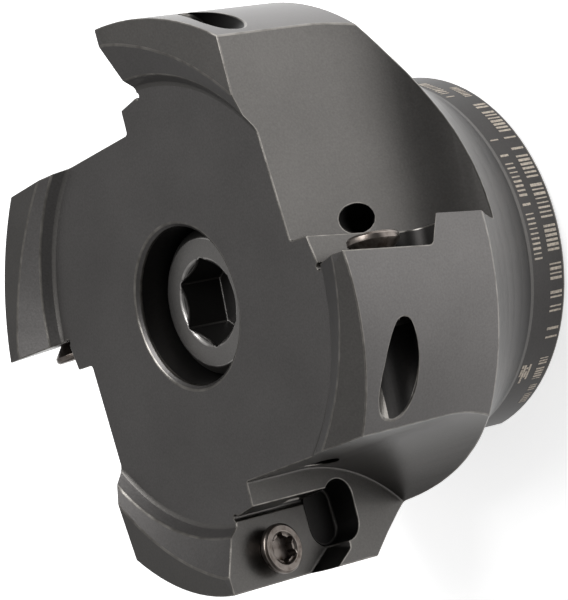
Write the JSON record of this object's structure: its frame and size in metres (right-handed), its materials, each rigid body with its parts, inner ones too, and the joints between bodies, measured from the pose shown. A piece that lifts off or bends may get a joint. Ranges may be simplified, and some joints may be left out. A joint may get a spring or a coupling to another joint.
{
  "type": "face mill",
  "caption": "Indexable shell face mill with stepped teeth, curved chip gullets, open insert seats with their screws, a hub and a recessed socket head lock screw.",
  "frame": {"origin": "centre of the hub's rear mounting face, on the cutter's axis", "axes": "+Z along the axis towards the cutting face; +X through the front outer corner of the first insert seat; teeth lead towards +Y there"},
  "size_m": [0.074, 0.074, 0.0475],
  "materials": {
    "body_steel": "blackened hardened steel, satin, fine turned and milled marks",
    "screw_steel": "black oxide alloy steel, satin",
    "screw_bronze": "bronze-brown tempered steel, semi-bright"
  },
  "bodies": {
    "cutter": {"cutter_body": "body_steel"},
    "arbor_screw": {"arbor_screw": "screw_steel"},
    "insert_screw_1": {"insert_screw_1": "screw_bronze"},
    "insert_screw_2": {"insert_screw_2": "screw_bronze"},
    "insert_screw_3": {"insert_screw_3": "screw_bronze"},
    "insert_screw_4": {"insert_screw_4": "screw_bronze"}
  },
  "joints": [
    {"name": "arbor_screw_out", "type": "slide", "parent": "cutter", "child": "arbor_screw", "axis": [0, 0, 1], "range_m": [0, 0.03]},
    {"name": "insert_screw_1_out", "type": "slide", "parent": "cutter", "child": "insert_screw_1", "axis": [-0.0349, 0.9948, -0.0958], "range_m": [0, 0.0085]},
    {"name": "insert_screw_2_out", "type": "slide", "parent": "cutter", "child": "insert_screw_2", "axis": [-0.9948, -0.0349, -0.0958], "range_m": [0, 0.0085]},
    {"name": "insert_screw_3_out", "type": "slide", "parent": "cutter", "child": "insert_screw_3", "axis": [0.0349, -0.9948, -0.0958], "range_m": [0, 0.0085]},
    {"name": "insert_screw_4_out", "type": "slide", "parent": "cutter", "child": "insert_screw_4", "axis": [0.9948, 0.0349, -0.0958], "range_m": [0, 0.0085]}
  ]
}
